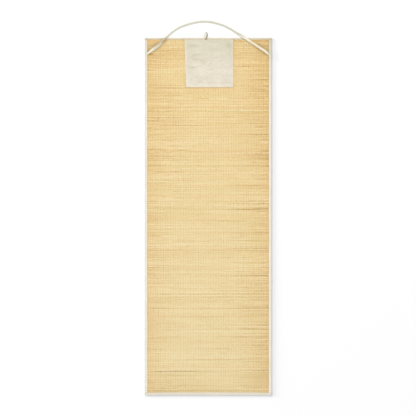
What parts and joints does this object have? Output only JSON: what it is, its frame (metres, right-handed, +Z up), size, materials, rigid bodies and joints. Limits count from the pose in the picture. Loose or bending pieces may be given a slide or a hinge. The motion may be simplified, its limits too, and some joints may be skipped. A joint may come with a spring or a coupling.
{
  "type": "straw beach mat",
  "caption": "Woven straw beach mat laid out flat, bound with canvas tape, with a canvas patch, a carrying strap and a closing loop at its head.",
  "frame": {"origin": "on the floor under the middle of the mat, at the middle of its straw underside", "axes": "+Y along the mat towards the head with the strap, +X to the right seen from above, +Z up from the floor"},
  "size_m": [0.605, 1.7794, 0.0193],
  "materials": {
    "straw": "woven dry straw stems with a faint sheen",
    "binding_tape": "matt natural cotton tape",
    "patch_canvas": "matt natural canvas",
    "strap_webbing": "matt cotton webbing",
    "loop_tape": "matt narrow cotton tape"
  },
  "bodies": {
    "root": {"straw_panel": "straw", "side_binding_left": "binding_tape", "side_binding_right": "binding_tape", "head_binding": "binding_tape", "foot_binding": "binding_tape", "canvas_patch": "patch_canvas", "carry_strap": "strap_webbing", "closing_loop": "loop_tape"}
  },
  "joints": []
}
